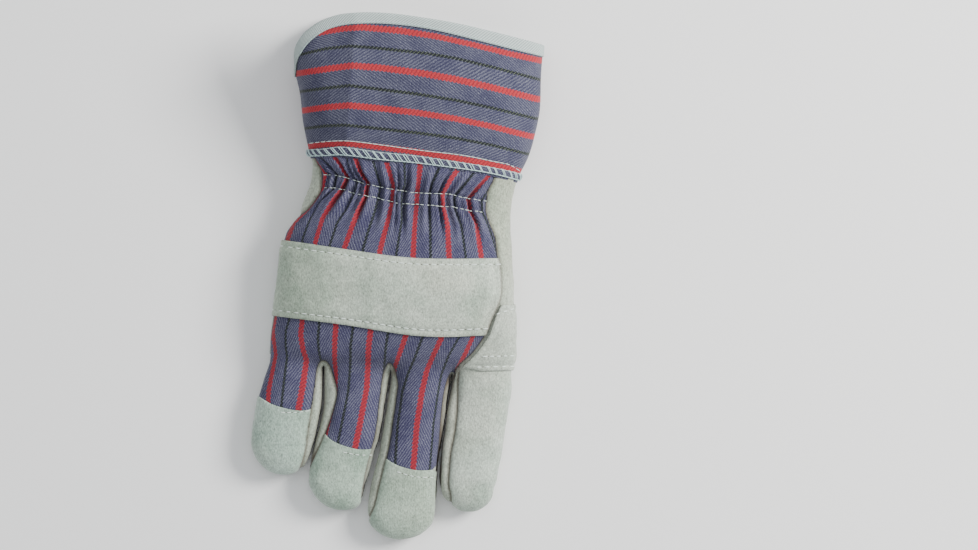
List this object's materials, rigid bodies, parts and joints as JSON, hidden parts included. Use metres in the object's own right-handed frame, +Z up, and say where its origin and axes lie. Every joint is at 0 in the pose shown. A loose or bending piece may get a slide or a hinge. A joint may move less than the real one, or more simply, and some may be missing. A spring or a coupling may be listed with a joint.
{
  "type": "leather palm work glove",
  "caption": "Right-hand leather palm work glove lying palm down: striped canvas back, suede palm, fingertips and knuckle strap, gathered wrist, bound safety cuff.",
  "frame": {"origin": "on the surface that the glove lies on, below the middle of its outline", "axes": "+X from the little finger to the index side, +Y from the fingertips to the cuff, +Z up from the palm side to the back"},
  "size_m": [0.1503, 0.2686, 0.0512],
  "materials": {
    "canvas": "blue grey twill with red and black and green stripes",
    "suede": "pale grey split suede",
    "binding": "off-white twill tape",
    "overlock": "white and blue overlock stitching"
  },
  "bodies": {
    "root": {"back_panel": "canvas", "cuff": "canvas", "cuff_binding": "binding", "cuff_seam": "overlock", "knuckle_strap": "suede", "index_back": "suede", "little_fingertip": "suede", "ring_fingertip": "suede", "middle_fingertip": "suede", "palm": "suede", "little_front": "suede", "ring_front": "suede", "middle_front": "suede", "index_front": "suede", "palm_patch": "suede", "thumb": "suede", "pulse_tab": "suede"}
  },
  "joints": []
}
